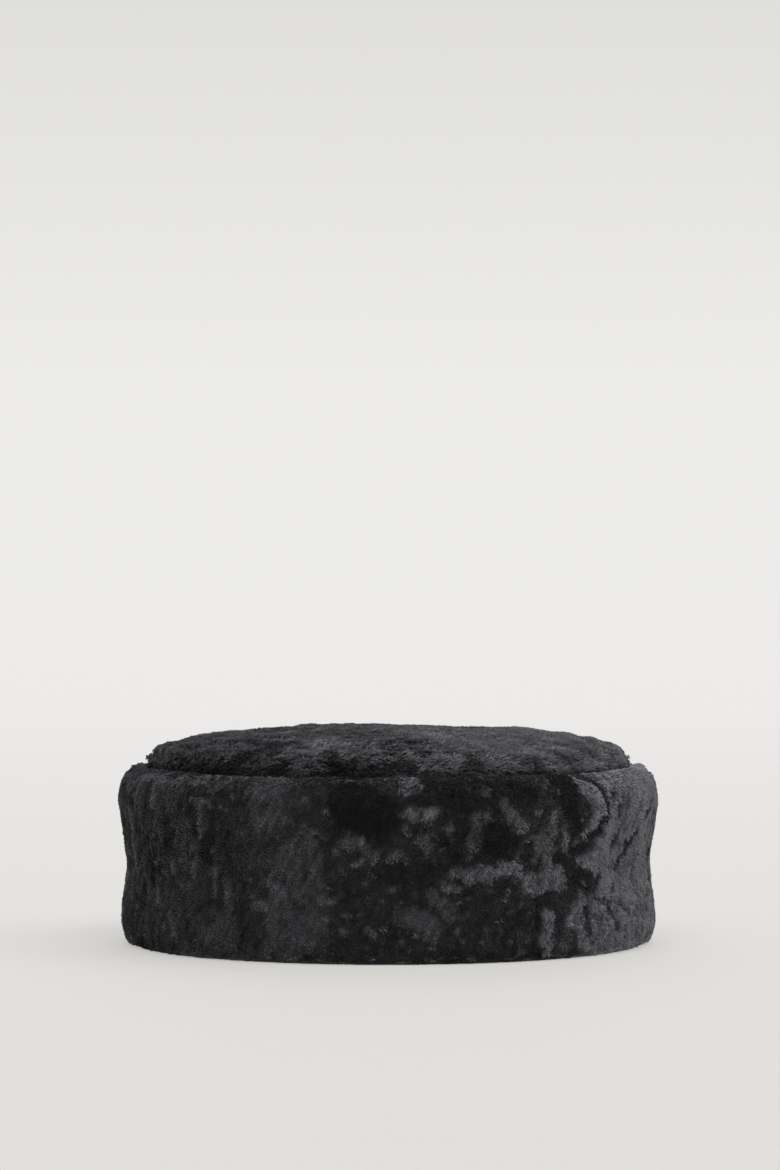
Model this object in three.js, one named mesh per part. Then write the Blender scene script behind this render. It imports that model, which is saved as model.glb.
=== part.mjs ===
// Shearling pillbox hat: an upright side band of sheared sheepskin, its hem rolled under,
// and a puffed crown tip sewn inside the band's top edge. Each piece is a wall of skin and wool.
// Millimetres, +Z up. The hem rests on Z = 0, and the front of the hat faces -Y.
import * as THREE from "three";

// Driving dimensions.
const WIDTH = 208; // side to side over the band's fullest line
const DEPTH_RATIO = 1.06; // front to back over side to side, the oval of a head
const BAND_HEIGHT = 68.6; // hem to the band's crest
const TIP_HEIGHT = 82.8; // hem to the top of the puffed tip
const BAND_WALL = 13; // skin and wool of the band along its fullest line
const TIP_WALL = 10.8; // skin and wool in the middle of the tip
const FOOT_WIDTH = 3.6; // the flat that the hem's wool is pressed to where it rests
const SEAM_GAP = 0.3; // between the tip's rim and the band that it is sewn into
const SEAM_TOP = 64.5; // the wool of both pieces begins above this height
const SEAM_BOTTOM = 60.5; // the turned edges of both skins end here

// The skin side that the head meets, and the tip's rim, as half widths.
const SKIN_RADIUS = WIDTH / 2 - BAND_WALL;
const TIP_RADIUS = SKIN_RADIUS - SEAM_GAP;

// How finely the pieces are divided: round the hat, and along each section's outside.
const SEGMENTS = 104;
const BAND_STEPS = 21;
const TIP_STEPS = 16;

// The band's outside, from the foot up and over the crest to the seam.
const BAND_OUTSIDE = [
  { at: "foot", radius: 98.2, height: 0 },
  { at: "hem roll", radius: 101.4, height: 3.2 },
  { at: "flare", radius: 102.6, height: 10.5 },
  { at: "waist", radius: 100.8, height: 30 },
  { at: "belly", radius: 103.3, height: 49 },
  { at: "full", radius: WIDTH / 2, height: 57 },
  { at: "shoulder", radius: 101.5, height: 64.8 },
  { at: "crest", radius: 97.4, height: BAND_HEIGHT },
  { at: "lip", radius: 94.2, height: 67.8 },
  { at: "seam", radius: SKIN_RADIUS, height: SEAM_TOP },
];

// The tip's outside, from its rim in the seam up over the puffed edge to the middle.
const TIP_OUTSIDE = [
  { at: "seam", radius: TIP_RADIUS, height: SEAM_TOP },
  { at: "puffed side", radius: 93, height: 70 },
  { at: "round", radius: 90.2, height: 74 },
  { at: "shoulder", radius: 83.4, height: 77.2 },
  { at: "edge of the flat", radius: 68, height: 80.4 },
  { at: "flat", radius: 40, height: 82.1 },
  { at: "middle", radius: 0, height: TIP_HEIGHT },
];

// The tip's skin side, from the middle out to the turned edge in the seam.
const TIP_UNDERSIDE = [
  { at: "middle", radius: 0, height: TIP_HEIGHT - TIP_WALL },
  { at: "flat", radius: 60, height: TIP_HEIGHT - TIP_WALL - 2 },
  { at: "round", radius: 82, height: TIP_HEIGHT - TIP_WALL - 6 },
  { at: "turned edge", radius: TIP_RADIUS - 3, height: SEAM_BOTTOM },
];

// Furrows in the band where the pile parts, and ridges where it bunches, which have a negative depth.
// Angle is in degrees from the front towards +X, and lean is in degrees from upright.
const BAND_FURROWS = [
  { angle: -74, height: 40, length: 50, width: 5, lean: 3, depth: 0.9 },
  { angle: -62, height: 36, length: 44, width: 5, lean: -4, depth: 0.8 },
  { angle: -48, height: 38, length: 40, width: 5, lean: 2, depth: 1.2 },
  { angle: -43, height: 42, length: 30, width: 4, lean: 0, depth: -0.8 },
  { angle: -38, height: 24, length: 30, width: 6, lean: 12, depth: 1 },
  { angle: -24, height: 52, length: 26, width: 7, lean: 70, depth: -0.7 },
  { angle: -13, height: 34, length: 58, width: 5, lean: -6, depth: 0.9 },
  { angle: -2, height: 52, length: 26, width: 11, lean: 78, depth: 1 },
  { angle: 10, height: 26, length: 40, width: 5, lean: 74, depth: -1 },
  { angle: 15, height: 40, length: 24, width: 8, lean: 60, depth: 1.3 },
  { angle: 25, height: 22, length: 34, width: 6, lean: 10, depth: 1.1 },
  { angle: 34, height: 28, length: 22, width: 6, lean: 24, depth: -1 },
  { angle: 43, height: 54, length: 26, width: 6, lean: 8, depth: 1.6 },
  { angle: 51, height: 48, length: 44, width: 5, lean: -10, depth: -1.2 },
  { angle: 57, height: 46, length: 42, width: 4.5, lean: -10, depth: 1.5 },
  { angle: 58, height: 16, length: 24, width: 5, lean: 6, depth: 1 },
  { angle: 67, height: 50, length: 34, width: 5, lean: -6, depth: -0.7 },
  { angle: 75, height: 38, length: 36, width: 5, lean: 16, depth: 0.9 },
  { angle: 112, height: 40, length: 46, width: 6, lean: 8, depth: 1 },
  { angle: 150, height: 34, length: 40, width: 7, lean: -12, depth: 1 },
  { angle: -112, height: 44, length: 36, width: 6, lean: 10, depth: 0.9 },
  { angle: -155, height: 30, length: 42, width: 7, lean: -6, depth: 1 },
];

// Hollows in the tip's pile, and ridges between them, which have a negative depth.
// Radius is where the hollow's middle lies, and turn is in degrees from running round the tip.
const TIP_FURROWS = [
  { angle: -44, radius: 78, length: 60, width: 8, turn: 0, depth: 1.2 },
  { angle: -30, radius: 66, length: 52, width: 9, turn: 8, depth: -0.8 },
  { angle: -12, radius: 78, length: 34, width: 7, turn: -4, depth: 1.1 },
  { angle: 2, radius: 70, length: 40, width: 8, turn: 6, depth: -0.8 },
  { angle: 14, radius: 52, length: 46, width: 10, turn: -12, depth: 0.9 },
  { angle: 30, radius: 78, length: 34, width: 7, turn: 14, depth: -0.9 },
  { angle: 48, radius: 76, length: 30, width: 7, turn: 16, depth: 1.1 },
  { angle: 64, radius: 74, length: 34, width: 7, turn: 10, depth: -0.8 },
  { angle: 100, radius: 60, length: 50, width: 10, turn: -16, depth: 0.9 },
  { angle: 150, radius: 66, length: 52, width: 9, turn: 10, depth: -0.8 },
  { angle: -140, radius: 58, length: 56, width: 10, turn: -8, depth: 0.9 },
  { angle: -75, radius: 64, length: 44, width: 9, turn: 20, depth: 0.9 },
];

// Slow swells of the wool, as waves through space, each along its own heading and climb in degrees.
const SWELLS = [
  { every: 88, heading: 20, climb: 20, start: 0.4, height: 0.4 },
  { every: 61, heading: 95, climb: -30, start: 1.9, height: 0.3 },
  { every: 43, heading: 150, climb: 40, start: 4.1, height: 0.25 },
  { every: 31, heading: 65, climb: -15, start: 2.7, height: 0.2 },
  { every: 25, heading: 125, climb: 10, start: 5.2, height: 0.16 },
];

// The soft oval isn't quite true: slow waves in its outline, as shares of the radius.
const OUTLINE_WAVES = [
  { turns: 2, start: 0.8, share: 0.002 },
  { turns: 3, start: 2.2, share: 0.003 },
  { turns: 5, start: 5, share: 0.0015 },
];

// Where the wool takes up relief, from none to all of it: by its depth over the skin and its height
// over the hem, and on the tip by how far it faces up and how far it lies from the middle.
const WOOL_DEPTH = { none: 3, full: 6.5 };
const HEM_CLEARANCE = { none: 0.5, full: 6 };
const FACING_UP = { none: 0.3, full: 0.9 };
const OFF_MIDDLE = { none: 1, full: 15 };

const { degToRad, radToDeg, euclideanModulo, smoothstep } = THREE.MathUtils;

function fadeIn(value, { none, full }) {
  return smoothstep(value, none, full);
}

// A place's angle from the front towards +X.
function angleOf(place) {
  return Math.atan2(place.x, -place.y);
}

// A smooth line through a table's rows, as points of radius and height.
function lineThrough(rows, steps) {
  const stops = rows.map(({ radius, height }) => new THREE.Vector2(radius, height));
  return new THREE.SplineCurve(stops).getSpacedPoints(steps);
}

// The band's closed section, from the skin side down to the hem, round the foot and over the crest.
function bandSection() {
  const outerFoot = BAND_OUTSIDE[0].radius;
  const innerHem = new THREE.QuadraticBezierCurve(
    new THREE.Vector2(SKIN_RADIUS, 5),
    new THREE.Vector2(SKIN_RADIUS, 0),
    new THREE.Vector2(outerFoot - FOOT_WIDTH, 0),
  );
  const middleOfSkin = new THREE.Vector2(SKIN_RADIUS - 0.4, BAND_HEIGHT / 2);
  return [
    middleOfSkin,
    ...innerHem.getPoints(3),
    ...lineThrough(BAND_OUTSIDE, BAND_STEPS),
    new THREE.Vector2(SKIN_RADIUS, SEAM_BOTTOM),
    middleOfSkin,
  ];
}

// The tip's section, from the middle of its underside out to the turned edge and back over the top.
function tipSection() {
  return [
    ...lineThrough(TIP_UNDERSIDE, 6),
    new THREE.Vector2(TIP_RADIUS, SEAM_BOTTOM),
    ...lineThrough(TIP_OUTSIDE, TIP_STEPS),
  ];
}

// A soft trough's share of its depth: whole along its middle, fading at its sides and ends.
function troughShare(across, along, { width, length }) {
  const side = across / (width / 2);
  const end = along / (length / 2);
  return Math.exp(-(side ** 2) - end ** 4);
}

// The way that a wave runs, its heading counted from +X towards +Y.
function run(heading, climb) {
  const level = Math.cos(degToRad(climb));
  const east = level * Math.cos(degToRad(heading));
  const north = level * Math.sin(degToRad(heading));
  return new THREE.Vector3(east, north, Math.sin(degToRad(climb)));
}

// The slow swell of the wool at a place.
function swell(place) {
  return SWELLS.reduce((sum, { every, heading, climb, start, height }) => {
    const turns = place.dot(run(heading, climb)) / every;
    return sum + height * Math.sin(turns * 2 * Math.PI + start);
  }, 0);
}

// How far the band's wool stands out from its plain section at a place.
function bandRelief(place) {
  const radius = Math.hypot(place.x, place.y);
  const angle = radToDeg(angleOf(place));
  const wool = fadeIn(radius - SKIN_RADIUS, WOOL_DEPTH) * fadeIn(place.z, HEM_CLEARANCE);
  const furrows = BAND_FURROWS.reduce((sum, furrow) => {
    const degrees = euclideanModulo(angle - furrow.angle + 180, 360) - 180;
    const sideways = degToRad(degrees) * radius;
    const up = place.z - furrow.height;
    const lean = degToRad(furrow.lean);
    const across = sideways * Math.cos(lean) - up * Math.sin(lean);
    const along = sideways * Math.sin(lean) + up * Math.cos(lean);
    return sum + furrow.depth * troughShare(across, along, furrow);
  }, 0);
  return wool * (swell(place) - furrows);
}

// How far the tip's wool stands up from its plain section at a place.
// Only what faces up has relief, so that the rim stays true in its seam and the skin side plain,
// and it fades out at the very middle, where all the segments share one point.
function tipRelief(place, outward) {
  const furrows = TIP_FURROWS.reduce((sum, furrow) => {
    const middle = degToRad(furrow.angle);
    const right = place.x - furrow.radius * Math.sin(middle);
    const front = -place.y - furrow.radius * Math.cos(middle);
    const turn = middle + degToRad(furrow.turn);
    const across = right * Math.sin(turn) + front * Math.cos(turn);
    const along = right * Math.cos(turn) - front * Math.sin(turn);
    return sum + furrow.depth * troughShare(across, along, furrow);
  }, 0);
  const wool = fadeIn(outward.z, FACING_UP) * fadeIn(Math.hypot(place.x, place.y), OFF_MIDDLE);
  return wool * (swell(place) - furrows);
}

// The share by which the outline's slow waves push the hat out at an angle.
function outlineShare(angle) {
  return OUTLINE_WAVES.reduce((sum, { turns, start, share }) => {
    return sum + share * Math.sin(turns * angle + start);
  }, 1);
}

// Turns a section round, lays relief on its wool and draws it out to the hat's oval.
function turnedPiece(section, relief) {
  const geometry = new THREE.LatheGeometry(section, SEGMENTS);
  geometry.rotateX(Math.PI / 2);
  const position = geometry.getAttribute("position");
  const normal = geometry.getAttribute("normal");
  for (let i = 0; i < position.count; i++) {
    const place = new THREE.Vector3().fromBufferAttribute(position, i);
    const outward = new THREE.Vector3().fromBufferAttribute(normal, i);
    place.addScaledVector(outward, relief(place, outward));
    const stretch = outlineShare(angleOf(place));
    position.setXYZ(i, place.x * stretch, place.y * stretch * DEPTH_RATIO, place.z);
  }
  geometry.deleteAttribute("uv");
  geometry.computeVertexNormals();
  return geometry;
}

function sideBand() {
  const shearedWool = new THREE.MeshStandardMaterial({ color: 0x29292c, roughness: 0.95, metalness: 0 });
  const mesh = new THREE.Mesh(turnedPiece(bandSection(), bandRelief), shearedWool);
  mesh.name = "side_band";
  return mesh;
}

function crownTip() {
  const curledWool = new THREE.MeshStandardMaterial({ color: 0x323235, roughness: 0.95, metalness: 0 });
  const mesh = new THREE.Mesh(turnedPiece(tipSection(), tipRelief), curledWool);
  mesh.name = "crown_tip";
  return mesh;
}

// The hat stands over the middle of its own footprint.
function centred(hat) {
  const middle = new THREE.Box3().setFromObject(hat).getCenter(new THREE.Vector3());
  hat.position.set(-middle.x, -middle.y, 0);
  return hat;
}

const hat = new THREE.Group();
hat.add(sideBand(), crownTip());

export default centred(hat);
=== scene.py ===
"""A black shearling pillbox hat standing on a pale floor.

The band and the crown are each a body of skin and wool with thousands of short locks rooted in it.
A lock is a closed sliver, as thick as a few dozen fibres that stick together.
Lengths are in millimetres until they reach Blender, which is in metres.
"""

import math

import bpy
import numpy as np
from mathutils import Euler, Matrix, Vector
from mathutils.kdtree import KDTree


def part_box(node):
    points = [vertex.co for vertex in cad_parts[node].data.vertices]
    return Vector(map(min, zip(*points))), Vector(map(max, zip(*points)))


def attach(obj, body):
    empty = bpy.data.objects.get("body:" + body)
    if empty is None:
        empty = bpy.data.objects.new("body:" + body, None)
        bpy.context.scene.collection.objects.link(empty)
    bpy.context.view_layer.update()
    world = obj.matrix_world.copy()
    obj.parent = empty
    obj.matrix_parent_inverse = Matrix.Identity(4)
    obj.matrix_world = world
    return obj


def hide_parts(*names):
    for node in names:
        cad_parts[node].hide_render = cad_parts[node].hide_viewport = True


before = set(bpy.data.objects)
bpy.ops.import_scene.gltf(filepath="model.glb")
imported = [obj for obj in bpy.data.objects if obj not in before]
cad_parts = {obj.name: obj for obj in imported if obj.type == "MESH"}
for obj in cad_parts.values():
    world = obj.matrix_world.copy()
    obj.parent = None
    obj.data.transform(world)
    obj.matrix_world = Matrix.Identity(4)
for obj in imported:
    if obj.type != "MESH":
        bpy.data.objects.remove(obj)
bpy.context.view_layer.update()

MM = 0.001

# The hat's own measures, from the frame and from its source.
BAND_LOW, BAND_HIGH = (np.array(corner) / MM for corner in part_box("side_band"))
HALF_WIDTH = (BAND_HIGH[0] - BAND_LOW[0]) / 2
DEPTH_RATIO = (BAND_HIGH[1] - BAND_LOW[1]) / (BAND_HIGH[0] - BAND_LOW[0])
BAND_WALL = 13
SKIN_RADIUS = HALF_WIDTH - BAND_WALL
SEAM_TOP = 64.5

# How each piece's wool stands.
# Its locks are rooted this deep under the hat's outside, in mm, and an upright one leans this many degrees.
# Tufts are a share of the locks' number. Each pulls its locks' tips together and has its own tone and height.
BAND_PILE = {
    "root_depth": 0.9,
    "thickness": 0.42,
    "per_mm2": 2.8,
    "lean": 32,
    "tuft_share": 0.25,
    "tuft_pull": 0.12,
    "tuft_tone": 0.13,
    "tuft_height": 0.03,
    "seed": 5,
}
TIP_PILE = {
    "root_depth": 1.4,
    "thickness": 0.46,
    "per_mm2": 2.4,
    "lean": 34,
    "tuft_share": 0.15,
    "tuft_pull": 0.2,
    "tuft_tone": 0.2,
    "tuft_height": 0.04,
    "seed": 6,
}

# How locks differ from each other: their bearing in degrees, their way, their height in mm and their tone.
BEARING_SPREAD = 20
WAY_SPREAD = 0.11
HEIGHT_SPREAD = 0.06
TONE_SPREAD = 0.1

# How much further a lock leans where the nap lies flat, in degrees.
LEAN_WHEN_FLAT = 40

# The shortest and the longest lock, and how much wider a lock is at its tip than at its root.
LOCK_LENGTHS = (0.8, 4)
TIP_SPREAD = 1.3

# A lock counts as rising at least this share of its length, so that a flat one isn't endless.
LEAST_RISE = 0.35

# A lock's root, and the body under it, have this share of the tone at the lock's tip: painted shade deep in
# the pile.
SHADED_ROOT_TONE = 0.8

# How fine the bodies' mesh is, and how far above the floor the lowest lock ends.
BODY_MESH_SIZE = 2.2
FLOOR_CLEARANCE = 0.02

# The middle of the groove over the seam, and how far round it wool fills the groove.
GROOVE_RADIUS = SKIN_RADIUS + 1.5
GROOVE_HEIGHT = SEAM_TOP + 2
GROOVE_FULL, GROOVE_END = 1.5, 4

# The strokes that hands have left in the band's nap, as seen on its front.
# Each runs from one place to another: degrees round from the front and height in mm.
# Then come its half width and how much deeper it lies, in mm, and its tone from 0, black, to 1, grey.
# The tone is the nap's painted sheen and shade: grey where it lies over and catches the light,
# black where it stands up and its depths lie in shade, and in deep furrows.
FROM_ANGLE, FROM_HEIGHT, TO_ANGLE, TO_HEIGHT, STROKE, DEEPER, TONE = range(7)
NAP_STROKES = [
    # The left side, greyer, with upright ripples
    (-28, 66, -24, 56, 9, 0.0, 0.31),
    (-19, 42, -17, 6, 9, 0.0, 0.28),
    (-23, 30, -23, 8, 6, 0.0, 0.31),
    (-76, 68, -36, 68.2, 1.5, 0.4, 0.10),
    (-70, 64.5, -59, 65.2, 0.9, -0.3, 0.48),
    (-56, 64, -49, 65, 0.9, -0.3, 0.46),
    (-46, 65.2, -37, 64.6, 0.9, -0.2, 0.40),
    (-34, 38, -34, 34, 6, 0.1, 0.10),
    (-32, 20, -30.5, 13, 3.5, 0.1, 0.08),
    (-33, 57, -30, 55.5, 2.2, 0.0, 0.12),
    (-38.5, 31, -37.5, 22, 2.4, 0.2, 0.08),
    (-35.5, 28, -35, 20, 1.5, 0.0, 0.35),
    (-28.5, 21.5, -26.5, 20.5, 1.6, 0.0, 0.38),
    (-26, 30, -23.5, 26, 2.2, 0.0, 0.42),
    (-15, 61, -13, 57.5, 2.2, 0.0, 0.08),
    (-18, 3, -15, 2.5, 1.6, 0.0, 0.08),
    (-53, 54, -52, 46, 1.8, 0.3, 0.10),
    (-45, 58, -44, 47, 1.8, 0.4, 0.08),
    (-42, 58, -42, 46, 1.2, -0.3, 0.38),
    (-39, 53, -39, 43, 2.0, 0.4, 0.08),
    (-41, 44, -41, 38, 2.6, 0.3, 0.05),
    (-45, 41, -45, 32, 1.6, -0.2, 0.38),
    (-53, 42, -53, 38, 3.2, 0.4, 0.06),
    (-53, 32, -53, 26, 1.4, 0.4, 0.08),
    (-52, 36, -52, 32, 0.9, -0.2, 0.38),
    (-39, 33, -39, 24, 0.9, -0.2, 0.36),
    (-62, 37, -62, 26, 1.6, 0.5, 0.05),
    (-66, 26, -65.5, 17, 1.6, 0.4, 0.06),
    (-58.3, 25, -58, 19, 1.4, -0.2, 0.36),
    (-57.2, 65.5, -57, 57, 1.0, -0.5, 0.42),
    (-60.8, 64, -60.5, 50, 1.0, 0.5, 0.08),
    (-65.3, 65, -65.3, 57, 0.9, -0.4, 0.42),
    (-69, 62, -68.5, 44, 0.9, 0.5, 0.10),
    (-73, 60, -72, 34, 0.8, -0.3, 0.42),
    (-48, 22, -46, 8, 1.4, 0.3, 0.10),
    (-52, 16, -50, 6, 1.2, -0.2, 0.35),
    (-13, 69, -7, 69, 1.2, 0.0, 0.50),
    # The middle, blackest, with small grey tufts
    (-8, 60, -2, 54, 9, 0.0, 0.01),
    (9, 61, 28, 61, 7, 0.0, 0.03),
    (-11, 50, -10, 49, 2.4, 0.1, 0.04),
    (2, 33, 9, 33, 4.5, 0.0, 0.06),
    (14, 50, 14, 33, 4, 0.0, 0.05),
    (23, 45, 24, 44, 7.5, 0.0, 0.01),
    (4, 68, 5, 66, 3.2, -0.3, 0.85),
    (4.5, 55, 5, 55, 2.2, -0.1, 0.55),
    (8.3, 55, 8.7, 55.5, 2.3, -0.1, 0.60),
    (7.5, 45, 8.5, 42, 2.8, -0.1, 0.50),
    (-3.2, 39.5, -2.6, 39.5, 1.7, -0.1, 0.55),
    (-9, 45, -5, 44, 2.2, 0.0, 0.38),
    (1.2, 40, 2.4, 40, 1.2, 0.0, 0.45),
    (12.6, 50, 12.8, 46.5, 1.4, 0.0, 0.42),
    (23.5, 58, 26, 54.5, 1.6, -0.1, 0.45),
    (26, 54.5, 28.5, 50, 1.6, -0.1, 0.48),
    (17.5, 54, 20, 54, 1.5, 0.0, 0.34),
    (19, 62.5, 20.5, 62.5, 1.6, 0.0, 0.25),
    (17.8, 50.5, 17.8, 44, 2.4, 0.0, 0.42),
    (3, 18, 9, 14, 4, 0.0, 0.30),
    (10, 24, 13, 20, 3, 0.0, 0.30),
    # The band of grey that crosses the right of the middle
    (13.5, 33, 19, 33, 2.2, -0.1, 0.50),
    (12, 28, 12.6, 28, 1.6, -0.1, 0.42),
    (22, 33.5, 27, 34.5, 2.4, -0.2, 0.66),
    (31.5, 29, 38.5, 30.5, 4.4, -0.2, 0.72),
    (34, 44, 34.5, 36, 4.2, 0.0, 0.55),
    (36, 49, 36, 47, 2.6, 0.0, 0.48),
    (36.5, 54, 36.7, 54, 1.6, -0.2, 0.68),
    # The right side, grey where painted light from the right falls on it, with deep furrows painted black as
    # shade
    (40.8, 66, 41.2, 57, 5.4, 0.2, 0.01),
    (42.3, 56, 43.4, 49, 2.3, 0.2, 0.01),
    (45, 65.5, 47.5, 60, 1.4, -0.3, 0.85),
    (47.5, 60, 48.4, 53, 1.7, -0.3, 0.9),
    (48.4, 53, 46.2, 46, 1.7, -0.2, 0.85),
    (39.8, 47.5, 40.3, 41.5, 1.7, -0.2, 0.80),
    (45.5, 68, 49, 65.5, 1.1, 0.7, 0.08),
    (49, 65.5, 51.7, 61, 1.5, 1.0, 0.03),
    (51.7, 61, 52.7, 54, 1.6, 1.0, 0.02),
    (52.7, 54, 50.3, 47, 1.5, 0.9, 0.03),
    (50, 47, 46, 42.5, 1.8, 0.7, 0.04),
    (46, 42.5, 43, 39, 2.0, 0.5, 0.04),
    (56.5, 66, 57.5, 52, 0.9, 0.4, 0.34),
    (61.5, 58, 58.5, 47, 0.8, 0.4, 0.36),
    (66.5, 56, 63, 46, 0.8, 0.4, 0.40),
    (38, 37.5, 43, 36.5, 1.8, 0.3, 0.06),
    (42.5, 33, 43, 28, 3.3, 0.3, 0.07),
    (35, 21.5, 39.5, 20.5, 3.8, 0.2, 0.08),
    (32.5, 21, 32.2, 3, 1.5, 0.5, 0.05),
    (37.2, 14, 37.8, 11, 2.8, 0.3, 0.07),
    (45.8, 18.5, 46.6, 10.5, 2.3, 0.4, 0.10),
    (35, 16, 34.9, 5, 2.2, -0.1, 0.70),
    (41.5, 15, 42, 13, 3.0, -0.1, 0.72),
    (57, 44.5, 54.7, 39.7, 1.2, 0.4, 0.14),
    (54.7, 39.7, 53.8, 34.5, 1.1, 0.4, 0.18),
    (58.5, 47.5, 56.7, 43, 1.2, 0.4, 0.18),
    (65.9, 45.5, 62.8, 41, 1.5, 0.5, 0.12),
    (62.8, 41, 60.2, 36, 1.5, 0.5, 0.12),
    (60.2, 36, 58.6, 33, 1.2, 0.4, 0.18),
    (75, 55.3, 69, 49.9, 1.2, 0.4, 0.18),
    (71.5, 43.5, 72.5, 42.5, 1.2, 0.3, 0.22),
    (50.7, 29.7, 49, 25.3, 1.3, 0.4, 0.18),
    (49.4, 23.3, 53.1, 19.9, 1.3, 0.4, 0.16),
    (53.1, 19.9, 56.2, 14.2, 1.9, 0.5, 0.12),
    (56.2, 14.2, 57.1, 10.7, 1.3, 0.4, 0.16),
    (60.2, 17.8, 60.8, 17, 0.9, 0.4, 0.20),
    (62.5, 15.2, 63, 14.2, 0.9, 0.4, 0.20),
    (56, 60, 54.5, 56, 0.8, 0.3, 0.25),
    (62, 62, 60, 56, 0.7, 0.3, 0.30),
    (66, 31, 64.5, 26, 0.8, 0.4, 0.25),
    (58, 28, 56, 24, 0.8, 0.3, 0.30),
]

# How many strokes lie on the rest of the band, where the front's own list ends.
STROKES_BEHIND = 150
LAST_CHARTED_ANGLE = 82

# The hollows and lumps in the wool round the front of the crown, in the same way: the hollows painted dark as
# shade, the lumps painted grey as highlight.
TIP_STROKES = [
    (-88, 74.5, -62, 76, 3.0, -0.7, 0.36),
    (-66, 67, -50, 67.5, 1.6, 0.4, 0.10),
    (-23, 69, -18, 70, 1.8, -0.7, 0.40),
    (8, 70, 15, 69.5, 1.8, -0.7, 0.42),
    (23, 70, 30, 69.5, 1.8, -0.7, 0.46),
    (-50, 68.5, -40, 70, 3.2, 0.9, 0.12),
    (-39, 72.5, -31, 75.5, 3.2, 0.8, 0.13),
    (-28.5, 70.5, -25, 70.5, 1.8, 1.1, 0.06),
    (-22.5, 75, -18.5, 73, 2.8, -0.4, 0.50),
    (-14.5, 72.3, -9, 71, 2.4, 1.1, 0.06),
    (-6, 70.5, 5, 70.5, 2.0, 0.8, 0.10),
    (10, 74, 16, 73, 2.0, -0.3, 0.52),
    (17, 70.5, 21, 70, 1.6, 0.8, 0.12),
    (24, 73.5, 31, 72, 2.2, -0.3, 0.55),
    (33, 70, 36, 69.5, 1.4, 0.8, 0.16),
    (39, 75.5, 44, 70, 1.8, -0.3, 0.62),
    (46, 74, 49, 70.5, 1.0, 0.5, 0.22),
    (52, 71, 80, 71, 3.0, 0.0, 0.60),
    (52, 78, 60, 74, 0.9, 0.5, 0.24),
]

# How far the streaks in the band's nap slant to the right on their way up, in degrees for each mm.
SLANT = 0.28


def drift(places, every, seed):
    """A smooth chance field over places, mostly from -1 to 1, whose bumps lie about `every` apart."""
    chance = np.random.default_rng(seed)
    count = 20
    ways = chance.normal(size=(count, 3))
    ways /= np.linalg.norm(ways, axis=1, keepdims=True)
    spans = every * chance.uniform(0.7, 1.6, count)
    starts = chance.uniform(0, 2 * np.pi, count)
    total = np.zeros(len(places))
    for way, span, start in zip(ways, spans, starts):
        total += np.sin(places @ way * (2 * np.pi / span) + start)
    return total / math.sqrt(2 * count)


def ease(value, low, high):
    """0 below low, 1 above high, and a smooth rise between."""
    share = np.clip((value - low) / (high - low), 0, 1)
    return share * share * (3 - 2 * share)


def unit(vectors):
    return vectors / np.maximum(np.linalg.norm(vectors, axis=1, keepdims=True), 1e-9)


def round_the_hat(places):
    """Each place's angle from the front towards +X, its radius with the oval taken out, its height."""
    right = places[:, 0]
    front = -places[:, 1] / DEPTH_RATIO
    return np.degrees(np.arctan2(right, front)), np.hypot(right, front), places[:, 2]


def from_groove(places):
    """How far each place is from the middle of the groove over the seam."""
    _, radius, height = round_the_hat(places)
    return np.hypot(radius - GROOVE_RADIUS, height - GROOVE_HEIGHT)


def along_the_streaks(places):
    """Places squeezed so that a chance field over them runs in slanting streaks up the band."""
    turn = np.radians(-SLANT * places[:, 2])
    x, y = places[:, 0], places[:, 1]
    return np.stack(
        [x * np.cos(turn) - y * np.sin(turn), x * np.sin(turn) + y * np.cos(turn), 0.3 * places[:, 2]], axis=1
    )


def along_the_rows(places):
    """Places squeezed so that a chance field over them runs in rows round the crown."""
    _, radius, height = round_the_hat(places)
    return np.stack([0.4 * places[:, 0], 0.4 * places[:, 1], radius - height], axis=1)


# Materials

# Where a colour mix node has its two colours and its result among its sockets.
COLOUR_A, COLOUR_B, MIXED = 6, 7, 2


def linear(colour):
    """An sRGB hex colour as linear RGBA."""
    values = [int(colour[i : i + 2], 16) / 255 for i in (1, 3, 5)]
    return [v / 12.92 if v <= 0.04045 else ((v + 0.055) / 1.055) ** 2.4 for v in values] + [1]


def add(tree, kind, links=None, **settings):
    """Adds a node: settings by attribute or, under `inputs`, by socket, and links by socket."""
    node = tree.nodes.new(kind)
    for name, value in settings.pop("inputs", {}).items():
        node.inputs[name].default_value = value
    for name, value in settings.items():
        setattr(node, name, value)
    for name, source in (links or {}).items():
        tree.links.new(source, node.inputs[name])
    return node


def new_material(name):
    material = bpy.data.materials.new(name)
    material.use_nodes = True
    material.node_tree.nodes.clear()
    return material, material.node_tree


def finish_material(tree, shader, bump=None):
    if bump is not None:
        tree.links.new(bump.outputs["Normal"], shader.inputs["Normal"])
    add(tree, "ShaderNodeOutputMaterial", {"Surface": shader.outputs["BSDF"]})


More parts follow.
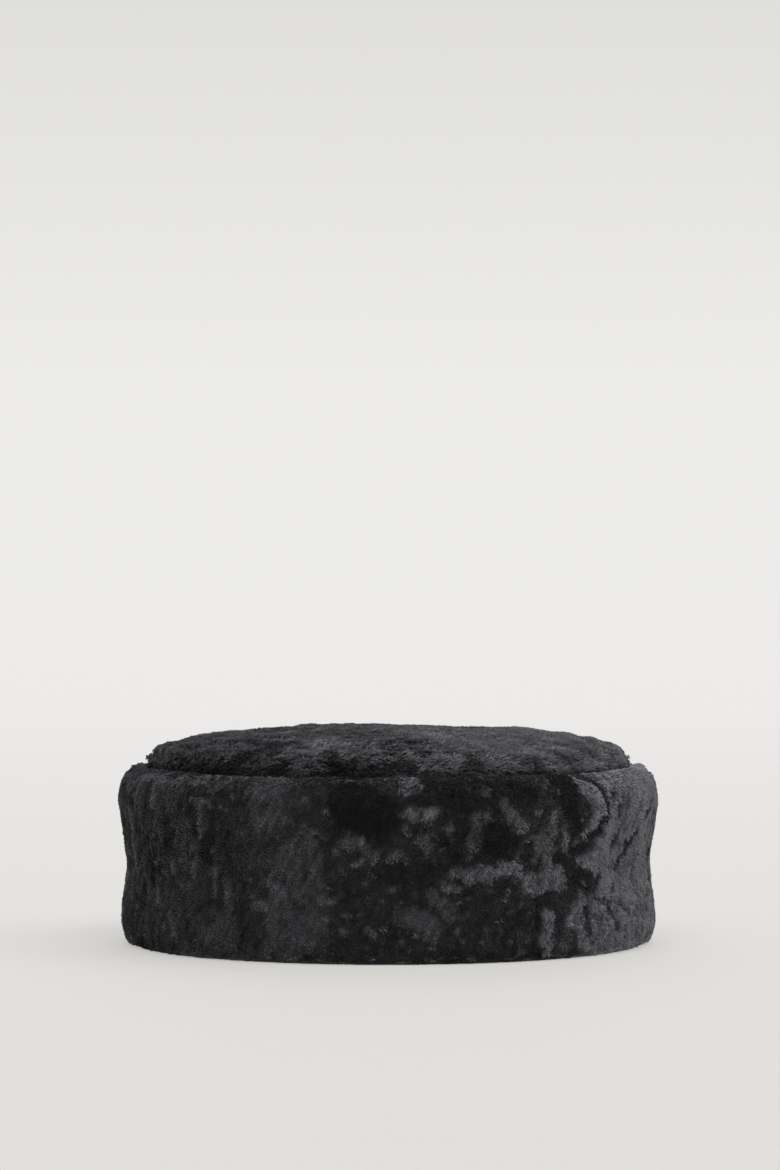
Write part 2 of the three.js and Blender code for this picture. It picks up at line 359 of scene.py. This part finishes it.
def dyed_wool_with_painted_sheen(name, dark, light):
    """Sheepskin wool dyed black and sheared: soft and dull, with a painted sheen, greyer wherever its fibres
    lie over and catch the light.
    """
    material, tree = new_material(name)
    place = add(tree, "ShaderNodeTexCoord")
    tone = add(tree, "ShaderNodeAttribute", attribute_name="tone")
    # Crimped fibres catch the light in grains about 0.8 mm wide.
    grain = add(
        tree,
        "ShaderNodeTexNoise",
        {"Vector": place.outputs["Object"]},
        inputs={"Scale": 1 / (0.8 * MM), "Detail": 2, "Roughness": 0.6},
    )
    spread = add(
        tree,
        "ShaderNodeMapRange",
        {"Value": grain.outputs["Fac"]},
        inputs={"From Min": 0.3, "From Max": 0.7, "To Min": 0.7, "To Max": 1.3},
    )
    grained = add(
        tree,
        "ShaderNodeMath",
        {0: tone.outputs["Fac"], 1: spread.outputs["Result"]},
        operation="MULTIPLY",
        use_clamp=True,
    )
    mix = add(
        tree,
        "ShaderNodeMix",
        {"Factor": grained.outputs["Value"]},
        data_type="RGBA",
        inputs={COLOUR_A: linear(dark), COLOUR_B: linear(light)},
    )
    shader = add(
        tree,
        "ShaderNodeBsdfPrincipled",
        {"Base Color": mix.outputs[MIXED]},
        inputs={
            "Roughness": 0.85,
            "IOR": 1.55,
            "Specular IOR Level": 0.12,
            "Sheen Weight": 0.06,
            "Sheen Roughness": 0.5,
            "Sheen Tint": linear("#b4b4bc"),
        },
    )
    finish_material(tree, shader)
    return material


def napped_suede():
    """The skin side, buffed to suede: flat, dark, with a faint nap and cloudy shading."""
    material, tree = new_material("napped_suede")
    place = add(tree, "ShaderNodeTexCoord")
    clouds = add(
        tree,
        "ShaderNodeTexNoise",
        {"Vector": place.outputs["Object"]},
        inputs={"Scale": 1 / (14 * MM), "Detail": 3},
    )
    nap = add(
        tree,
        "ShaderNodeTexNoise",
        {"Vector": place.outputs["Object"]},
        inputs={"Scale": 1 / (0.7 * MM), "Detail": 4, "Roughness": 0.7},
    )
    colour = add(
        tree,
        "ShaderNodeMix",
        {"Factor": clouds.outputs["Fac"]},
        data_type="RGBA",
        inputs={COLOUR_A: linear("#1c1b1d"), COLOUR_B: linear("#2b2a2d")},
    )
    bump = add(
        tree,
        "ShaderNodeBump",
        {"Height": nap.outputs["Fac"]},
        inputs={"Strength": 0.5, "Distance": 0.3 * MM},
    )
    shader = add(
        tree,
        "ShaderNodeBsdfPrincipled",
        {"Base Color": colour.outputs[MIXED]},
        inputs={"Roughness": 0.9, "IOR": 1.5, "Specular IOR Level": 0.25, "Sheen Weight": 0.1},
    )
    finish_material(tree, shader, bump)
    return material


# Wool


def strokes_behind():
    """Softer strokes like the front's, in chance places on the sides and the back, their tones painted sheen
    and shade of the nap as on the front.
    """
    chance = np.random.default_rng(3)
    rows = []
    for _ in range(STROKES_BEHIND):
        angle = chance.uniform(LAST_CHARTED_ANGLE, 360 - LAST_CHARTED_ANGLE)
        height = chance.uniform(4, 66)
        light = chance.random() < 0.5
        width = chance.uniform(0.8, 3.5)
        turn = chance.uniform(-5, 5)
        rise = chance.uniform(4, 20)
        tone = chance.uniform(0.4, 0.55) if light else chance.uniform(0.15, 0.28)
        deeper = chance.uniform(0, 0.5) * (width < 2.5) * (-0.4 if light else 1)
        rows.append((angle, height - rise / 2, angle + turn, height + rise / 2, width, deeper, tone))
    return rows


def turned_by(angle, other):
    """How far it is from one angle to another, in degrees, the short way round."""
    return (other - angle + 180) % 360 - 180


def ground_of_band(places):
    """The band's tone without strokes, the nap's painted sheen and shade. From the front: grey left, black
    middle, and pale grey right, painted light from the right.
    """
    angle, _, height = round_the_hat(places)
    tone = 0.16 + 0.07 * drift(places, 30, 15) + 0.16 * ease(angle, 90, 150) + 0.16 * ease(-angle, 80, 140)

    # The edges between the areas waver, and near the hem the pale area is duller and reaches further left.
    wander = angle + 4 * drift(places, 14, 51) + 2 * drift(places, 5, 52)
    low = 1 - ease(height, 14, 30)
    tone += (0.09 - tone) * ease(wander, -19, -9) * (1 - ease(wander, 45, 51))
    tone += (0.95 - 0.25 * low - tone) * ease(wander + 8 * low, 46, 52) * (1 - ease(wander, 84, 125))

    # A few grey tufts stand in the black.
    return tone + (0.4 - tone) * (1 - ease(tone, 0.1, 0.2)) * ease(drift(places, 4.5, 53), 0.45, 0.9)


def with_strokes(places, rows, tone, ragged):
    """The painted tone of the nap's sheen and shade, and how much deeper the wool lies, once hands have left
    these strokes in its nap.
    """
    angle, _, height = round_the_hat(places)
    mm_per_degree = math.radians(1) * HALF_WIDTH
    height = height + 0.9 * drift(places, 4, 20)
    deeper = np.zeros(len(places))
    for row in rows:
        across = -turned_by(angle, row[FROM_ANGLE]) * mm_per_degree
        up = height - row[FROM_HEIGHT]
        run = turned_by(row[FROM_ANGLE], row[TO_ANGLE]) * mm_per_degree
        rise = row[TO_HEIGHT] - row[FROM_HEIGHT]
        along = np.clip((across * run + up * rise) / max(run * run + rise * rise, 0.01), 0, 1)
        far = np.hypot(across - along * run, up - along * rise)
        width = row[STROKE]

        # A narrow stroke frays less than a wide one, and a light one has a softer edge.
        fray = ragged * min(width / 2.5, 1)
        soft = 0.2 if row[TONE] > 0.3 else 0
        share = 1 - ease(far + fray, (0.8 - soft) * width, width + 0.7 + soft)
        tone += (row[TONE] - tone) * share
        deeper += (row[DEEPER] - deeper) * share
    return tone, deeper


def strokes_on_band(places):
    """The band's painted tone and depth with its strokes, whose edges are ragged along the nap."""
    ragged = drift(places, 5, 18) + drift(along_the_streaks(places), 2.4, 19)
    return with_strokes(places, [*NAP_STROKES, *strokes_behind()], ground_of_band(places), ragged)


def strokes_on_tip(places):
    """The crown's hollows, lumps and the creases between its rows of curls, with painted shade in the
    hollows, the creases and the groove over the seam.
    """
    angle, _, height = round_the_hat(places)
    rows = along_the_rows(places)
    ground = 0.42 + 0.08 * drift(places, 40, 25) + 0.12 * drift(rows, 8, 28)
    tone, deeper = with_strokes(places, TIP_STROKES, ground, 1.1 * drift(rows, 4, 29))
    # Painted shade: the creases between the rows are darkened as well as sunk.
    shaded_crease = 1 - ease(np.abs(drift(rows, 16, 45) + 0.25 * drift(places, 6, 46)), 0, 0.16)
    # Painted shade in the groove over the seam, weaker towards the right.
    seam = 1 - ease(from_groove(places) + drift(places, 7, 47), 1.5, 5)
    seam *= 1 - 0.6 * ease(angle, 35, 50)
    at_side = ease(height, 65, 67) * (1 - ease(height, 70, 75))
    return tone * (1 - 0.4 * shaded_crease) * (1 - 0.5 * seam), deeper + 0.5 * shaded_crease + 0.35 * at_side


def mottled(places, streaked, tone, seed):
    """The tone with small darker and lighter tufts and streaks in it."""
    wide = 0.35 * drift(places, 12, seed + 5)
    tufts = wide + 0.4 * drift(places, 5, seed) + 0.2 * drift(places, 2.6, seed + 1)
    streaks = 0.6 * drift(streaked, 3, seed + 9)
    return np.clip(tone * (1 + 0.65 * (tufts + streaks)) + 0.03 * tufts, 0, 1)


def nap_on_band(places):
    """How the band's wool lies: lie from 0, upright, to 1, flat; bearing in degrees; tone from 0 to 1, the
    nap's painted sheen and shade.
    """
    tone, _ = strokes_on_band(places)
    tone = mottled(places, along_the_streaks(places), tone, 16)
    lie = 0.15 + 0.5 * tone + 0.12 * drift(places, 9, 12)
    bearing = 5 + 40 * drift(places, 30, 13) + 25 * drift(places, 8, 14)
    return np.clip(lie, 0.02, 0.95), bearing, tone


def nap_on_tip(places):
    """The crown's wool lies round the crown in curled rows, flattest on its steep side."""
    tone, _ = strokes_on_tip(places)
    tone = mottled(places, along_the_rows(places), tone, 26)
    steep = 1 - ease(places[:, 2], 70, 77)
    lie = 0.45 + 0.4 * tone + 0.15 * drift(places, 8, 22) + 0.2 * steep
    bearing = 75 + 35 * drift(places, 40, 23) + 45 * drift(places, 7, 24)
    return np.clip(lie, 0.02, 0.95), bearing, tone


def crumb_on_band(places):
    """How far the sheared wool stands out of its plain form."""
    _, deeper = strokes_on_band(places)
    streaks = along_the_streaks(places)
    stands = 0.2 * drift(places, 7, 31) + 0.15 * drift(places, 3.5, 32) + 0.35 * drift(streaks, 6, 33)

    # The crest rises and falls a little on its way round, most at the front.
    front = ease(-places[:, 1], 20, 80)
    wave = (0.6 + 0.8 * front) * drift(places, 15, 34) + 0.5 * drift(places, 7, 35) - 0.8
    return stands + ease(places[:, 2], 62, 67) * wave - deeper - 0.3


def crumb_on_tip(places):
    """How far the crown's curled wool stands out of its plain form."""
    _, deeper = strokes_on_tip(places)
    rows = along_the_rows(places)
    stands = 0.4 * drift(rows, 7, 43) + 0.25 * drift(places, 8, 41) + 0.15 * drift(places, 4, 42)
    return stands - deeper - 0.4


def wool_of_band(places, _normals):
    """1 where the band's surface is wool and 0 on its skin side."""
    _, radius, _ = round_the_hat(places)
    return ease(radius, SKIN_RADIUS + 0.6, SKIN_RADIUS + 1.6)


def wool_of_tip(places, normals):
    """1 where the crown's surface is wool and 0 on its skin side and in the seam."""
    _, radius, height = round_the_hat(places)
    above = ease(height, SEAM_TOP - 0.5, SEAM_TOP + 1)
    outside = np.maximum(ease(normals[:, 2], -0.2, 0.2), ease(radius, SKIN_RADIUS - 2, SKIN_RADIUS))
    return above * outside


def body_mesh(node, name):
    """The node's solid as an even, fine mesh."""
    rough = bpy.data.objects.new(name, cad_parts[node].data.copy())
    bpy.context.scene.collection.objects.link(rough)
    weld = rough.modifiers.new("weld", "WELD")
    weld.merge_threshold = 0.01 * MM
    even = rough.modifiers.new("even", "REMESH")
    even.mode = "VOXEL"
    even.voxel_size = BODY_MESH_SIZE * MM
    evaluated = rough.evaluated_get(bpy.context.evaluated_depsgraph_get())
    mesh = bpy.data.meshes.new_from_object(evaluated)
    mesh.name = name
    mesh.materials.clear()
    bpy.data.objects.remove(rough)
    return mesh


def vectors_of(collection, attribute):
    values = np.empty(len(collection) * 3, np.float32)
    collection.foreach_get(attribute, values)
    return values.reshape(-1, 3).astype(float)


def triangles_of(mesh):
    mesh.calc_loop_triangles()
    values = np.empty(len(mesh.loop_triangles) * 3, np.int32)
    mesh.loop_triangles.foreach_get("vertices", values)
    return values.reshape(-1, 3)


def set_tone(mesh, tone):
    attribute = mesh.attributes.new("tone", "FLOAT", "POINT")
    attribute.data.foreach_set("value", tone.astype(np.float32))


def make_body(node, name, wool_share, nap, crumb, pile, wool, suede):
    """The skin and the root of the wool as one closed piece, and what the locks need to know of it."""
    mesh = body_mesh(node, name)
    places = vectors_of(mesh.vertices, "co") / MM
    normals = vectors_of(mesh.vertex_normals, "vector")
    share = wool_share(places, normals)
    depth = (pile["root_depth"] - crumb(places)) * ease(from_groove(places), GROOVE_FULL, GROOVE_END)

    # What faces down at the hem stays on the floor.
    depth *= ease(normals[:, 2], -0.9, -0.3)
    sunk = places - normals * (share * depth)[:, None]
    sunk[:, 2] = np.maximum(sunk[:, 2], 0)
    mesh.vertices.foreach_set("co", (sunk * MM).astype(np.float32).ravel())
    mesh.update()
    # The body under the locks takes the roots' painted shade.
    _, _, tone = nap(places)
    set_tone(mesh, tone * SHADED_ROOT_TONE)
    mesh.materials.append(wool)
    mesh.materials.append(suede)
    starts = np.empty(len(mesh.polygons), np.int32)
    mesh.polygons.foreach_get("loop_start", starts)
    corners = np.empty(len(mesh.loops), np.int32)
    mesh.loops.foreach_get("vertex_index", corners)
    is_suede = share[corners[starts]] < 0.5
    mesh.polygons.foreach_set("material_index", is_suede.astype(np.int32))
    mesh.shade_smooth()
    body = bpy.data.objects.new(name, mesh)
    bpy.context.scene.collection.objects.link(body)
    return body, sunk, share


def sow(places, normals, triangles, share, per_mm2, chance):
    """Places and normals spread evenly over the wool."""
    a, b, c = (places[triangles[:, i]] for i in range(3))
    areas = np.linalg.norm(np.cross(b - a, c - a), axis=1) / 2 * (share[triangles].min(axis=1) > 0.5)
    edges = np.cumsum(areas)
    count = int(edges[-1] * per_mm2)
    picks = np.searchsorted(edges, (np.arange(count) + chance.random(count)) * edges[-1] / count)
    picks = np.minimum(picks, len(triangles) - 1)
    u, v = chance.random((2, count))
    over = u + v > 1
    u[over], v[over] = 1 - u[over], 1 - v[over]
    weights = np.stack([1 - u - v, u, v], axis=1)[:, :, None]
    chosen = triangles[picks]
    return (places[chosen] * weights).sum(1), unit((normals[chosen] * weights).sum(1))


def ways_on_surface(places, normals):
    """The way round the hat and the way up and over its top, both along the surface."""
    angle, _, _ = round_the_hat(places)
    turn = np.radians(angle)
    flat = np.stack([np.cos(turn), DEPTH_RATIO * np.sin(turn), np.zeros(len(turn))], axis=1)
    round_way = unit(flat - normals * (flat * normals).sum(1)[:, None])
    return round_way, np.cross(normals, round_way)


def grow_locks(roots, normals, nap, pile, chance):
    """The corners of every lock, two at its root and two at its sheared tip, and their tone."""
    lie, bearing, tone = nap(roots)
    count = len(roots)
    round_way, up_way = ways_on_surface(roots, normals)
    bearing = np.radians(bearing + chance.normal(0, BEARING_SPREAD, count))
    along = round_way * np.sin(bearing)[:, None] - up_way * np.cos(bearing)[:, None]
    lean = np.radians(pile["lean"] + LEAN_WHEN_FLAT * lie)
    ways = normals * np.cos(lean)[:, None] + along * np.sin(lean)[:, None]

    # Locks gather into tufts: each leans its tip towards the middle of its own tuft.
    middles = roots[chance.choice(count, int(count * pile["tuft_share"]), replace=False)]
    tree = KDTree(len(middles))
    for i, middle in enumerate(middles):
        tree.insert(middle, i)
    tree.balance()
    own = np.array([tree.find(root)[1] for root in roots])
    pull = (middles[own] - roots) * pile["tuft_pull"] / pile["root_depth"]
    ways = unit(ways + pull + chance.normal(0, WAY_SPREAD, (count, 3)))

    # Nothing at the hem points down at the floor.
    ways[:, 2] = np.maximum(ways[:, 2], -ease(roots[:, 2], 1, 8))
    ways = unit(ways)
    tuft_tone = chance.normal(0, pile["tuft_tone"], len(middles))[own]
    tuft_height = chance.normal(0, pile["tuft_height"], len(middles))[own]
    height = pile["root_depth"] + tuft_height + chance.normal(0, HEIGHT_SPREAD, count)

    # Where the body already fills the groove, the locks on it are short.
    height *= 0.4 + 0.6 * ease(from_groove(roots), GROOVE_FULL, GROOVE_END)
    rise = np.maximum((ways * normals).sum(1), LEAST_RISE)
    length = np.clip(height / rise, *LOCK_LENGTHS)

    across = unit(np.cross(ways, chance.normal(size=(count, 3))))
    beside = np.cross(ways, across)
    half = (pile["thickness"] / 2 * chance.uniform(0.7, 1.3, count))[:, None]
    tips = roots + ways * length[:, None]
    corners = np.stack(
        [
            roots + across * half,
            roots - across * half,
            tips + beside * half * TIP_SPREAD,
            tips - beside * half * TIP_SPREAD,
        ],
        axis=1,
    )
    shade = np.clip(tone * (1 + tuft_tone + chance.normal(0, TONE_SPREAD, count)), 0, 1)
    # The roots are painted darker than the tips, as shade deep in the pile.
    tones = np.stack([shade * SHADED_ROOT_TONE, shade * SHADED_ROOT_TONE, shade, shade], axis=1)
    return corners, tones


def locks_piece(name, corners, tones, wool):
    """One piece of many closed four-sided locks."""
    count = len(corners)
    mesh = bpy.data.meshes.new(name)
    faces = np.array([[0, 1, 2], [1, 0, 3], [2, 3, 0], [3, 2, 1]])
    loops = (faces.ravel()[None] + 4 * np.arange(count)[:, None]).ravel()
    mesh.vertices.add(count * 4)
    mesh.vertices.foreach_set("co", (corners * MM).astype(np.float32).ravel())
    mesh.loops.add(len(loops))
    mesh.loops.foreach_set("vertex_index", loops.astype(np.int32))
    mesh.polygons.add(count * 4)
    mesh.polygons.foreach_set("loop_start", np.arange(0, len(loops), 3, dtype=np.int32))
    mesh.update(calc_edges=True)
    mesh.validate()
    set_tone(mesh, tones.ravel())
    mesh.materials.append(wool)
    mesh.shade_smooth()
    piece = bpy.data.objects.new(name, mesh)
    bpy.context.scene.collection.objects.link(piece)
    return piece


def cover_with_locks(name, body, sunk, share, nap, pile, sectors, wool):
    """The locks of one body, as several pieces round the hat."""
    chance = np.random.default_rng(pile["seed"])
    normals = vectors_of(body.data.vertex_normals, "vector")
    triangles = triangles_of(body.data)
    roots, root_normals = sow(sunk, normals, triangles, share, pile["per_mm2"], chance)
    corners, tones = grow_locks(roots, root_normals, nap, pile, chance)
    corners[:, :, 2] = np.maximum(corners[:, :, 2], FLOOR_CLEARANCE)
    angle, _, _ = round_the_hat(roots)
    span = 360 / len(sectors)
    sector = (((angle + span / 2) % 360) // span).astype(int)
    pieces = []
    for i, where in enumerate(sectors):
        mine = sector == i
        pieces.append(locks_piece(f"{name}_{where}", corners[mine], tones[mine], wool))
    return pieces


def make_band(suede):
    """The upright side band. Left and right are the wearer's."""
    # Black wool, and the grey of its painted sheen.
    wool = dyed_wool_with_painted_sheen("sheared_black_wool", "#1b1b1c", "#8b8b91")
    body, sunk, share = make_body(
        "side_band", "band_skin_and_wool", wool_of_band, nap_on_band, crumb_on_band, BAND_PILE, wool, suede
    )
    sectors = ["front", "left", "back", "right"]
    locks = cover_with_locks("band_locks", body, sunk, share, nap_on_band, BAND_PILE, sectors, wool)
    return body, locks


def make_tip(suede):
    """The puffed crown."""
    # Black wool, and the grey of its painted sheen.
    wool = dyed_wool_with_painted_sheen("curled_black_wool", "#171718", "#7c7c81")
    body, sunk, share = make_body(
        "crown_tip", "crown_skin_and_wool", wool_of_tip, nap_on_tip, crumb_on_tip, TIP_PILE, wool, suede
    )
    sectors = ["front", "back"]
    locks = cover_with_locks("crown_locks", body, sunk, share, nap_on_tip, TIP_PILE, sectors, wool)
    return body, locks


# Floor, light and camera


def make_floor():
    """A pale paper floor that runs on to the horizon, with painted shading: a little darker in front of the
    hat and lighter far off on every side.
    """
    material, tree = new_material("matt_pale_paper")
    place = add(tree, "ShaderNodeTexCoord")

    # In metres: the darkest place, in front of the hat, and how far from it the paper is lightest. The
    # darkening round it is painted shade.
    darkest_place = (0, -0.7, 0)
    far_off = 3.7
    distance = add(
        tree,
        "ShaderNodeVectorMath",
        {0: place.outputs["Object"]},
        operation="DISTANCE",
        inputs={1: darkest_place},
    )
    far = add(
        tree,
        "ShaderNodeMapRange",
        {"Value": distance.outputs["Value"]},
        inputs={"From Max": far_off},
    )
    colour = add(
        tree,
        "ShaderNodeMix",
        {"Factor": far.outputs["Result"]},
        data_type="RGBA",
        inputs={COLOUR_A: linear("#898886"), COLOUR_B: linear("#8f8e8d")},
    )

    # The paper glows a little: painted light that keeps the shadows on it faint, so that no part of it goes
    # grey.
    shader = add(
        tree,
        "ShaderNodeBsdfPrincipled",
        {"Base Color": colour.outputs[MIXED], "Emission Color": colour.outputs[MIXED]},
        inputs={"Roughness": 0.9, "Specular IOR Level": 0.1, "Emission Strength": 1.65},
    )
    finish_material(tree, shader)
    mesh = bpy.data.meshes.new("floor")
    half = 40
    corners = [(-half, -half, 0), (half, -half, 0), (half, half, 0), (-half, half, 0)]
    mesh.from_pydata(corners, [], [(0, 1, 2, 3)])
    mesh.materials.append(material)
    floor = bpy.data.objects.new("floor", mesh)
    bpy.context.scene.collection.objects.link(floor)


def make_world():
    """A pale backdrop round the horizon, and a dim ceiling."""
    world = bpy.data.worlds.new("studio")
    bpy.context.scene.world = world
    world.use_nodes = True
    tree = world.node_tree
    tree.nodes.clear()
    way = add(tree, "ShaderNodeTexCoord")
    parts = add(tree, "ShaderNodeSeparateXYZ", {"Vector": way.outputs["Generated"]})
    ramp = add(tree, "ShaderNodeValToRGB", {"Fac": parts.outputs["Z"]})
    stops = ramp.color_ramp.elements

    # A stop's position is the sine of its height above the horizon.
    stops[0].position, stops[0].color = 0, linear("#edecea")
    stops[1].position, stops[1].color = 0.5, linear("#949496")
    for position, colour in [(0.045, "#edecea"), (0.134, "#e0dfdb"), (0.25, "#b4b4b4")]:
        stops.new(position).color = linear(colour)
    background = add(tree, "ShaderNodeBackground", {"Color": ramp.outputs["Color"]})
    add(tree, "ShaderNodeOutputWorld", {"Surface": background.outputs["Background"]})


def soft_light(name, way, energy):
    """A soft box so wide and far off that it lights the whole floor evenly."""
    light = bpy.data.lights.new(name, "SUN")
    light.energy = energy
    light.angle = math.radians(55)
    lamp = bpy.data.objects.new(name, light)
    lamp.rotation_euler = Vector(way).to_track_quat("Z", "Y").to_euler()
    bpy.context.scene.collection.objects.link(lamp)


def make_camera():
    """Level, a little above the hat's crown, as the photograph was taken."""
    right, away, height = 0.8, 1672, 137.3
    camera = bpy.data.cameras.new("camera")
    camera.sensor_fit = "VERTICAL"
    camera.sensor_height = 36
    camera.lens = 133.55
    camera.clip_start = 0.05
    camera.clip_end = 200
    holder = bpy.data.objects.new("camera", camera)
    holder.location = (right * MM, -away * MM, height * MM)
    holder.rotation_euler = Euler((math.radians(90), 0, 0))
    bpy.context.scene.collection.objects.link(holder)
    bpy.context.scene.camera = holder


suede_side = napped_suede()
band_body, band_locks = make_band(suede_side)
tip_body, tip_locks = make_tip(suede_side)

for piece in [band_body, *band_locks]:
    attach(piece, "root")
for piece in [tip_body, *tip_locks]:
    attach(piece, "root")
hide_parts("side_band")
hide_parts("crown_tip")

make_floor()
make_world()
soft_light("key", (0, -0.5, 1), 1.6)
soft_light("right", (1, -0.1, 0.9), 1.15)
soft_light("left", (-1, -0.1, 0.9), 0.1)
soft_light("behind", (0, 1, 0.6), 1.15)
make_camera()
bpy.context.scene.view_settings.view_transform = "Standard"
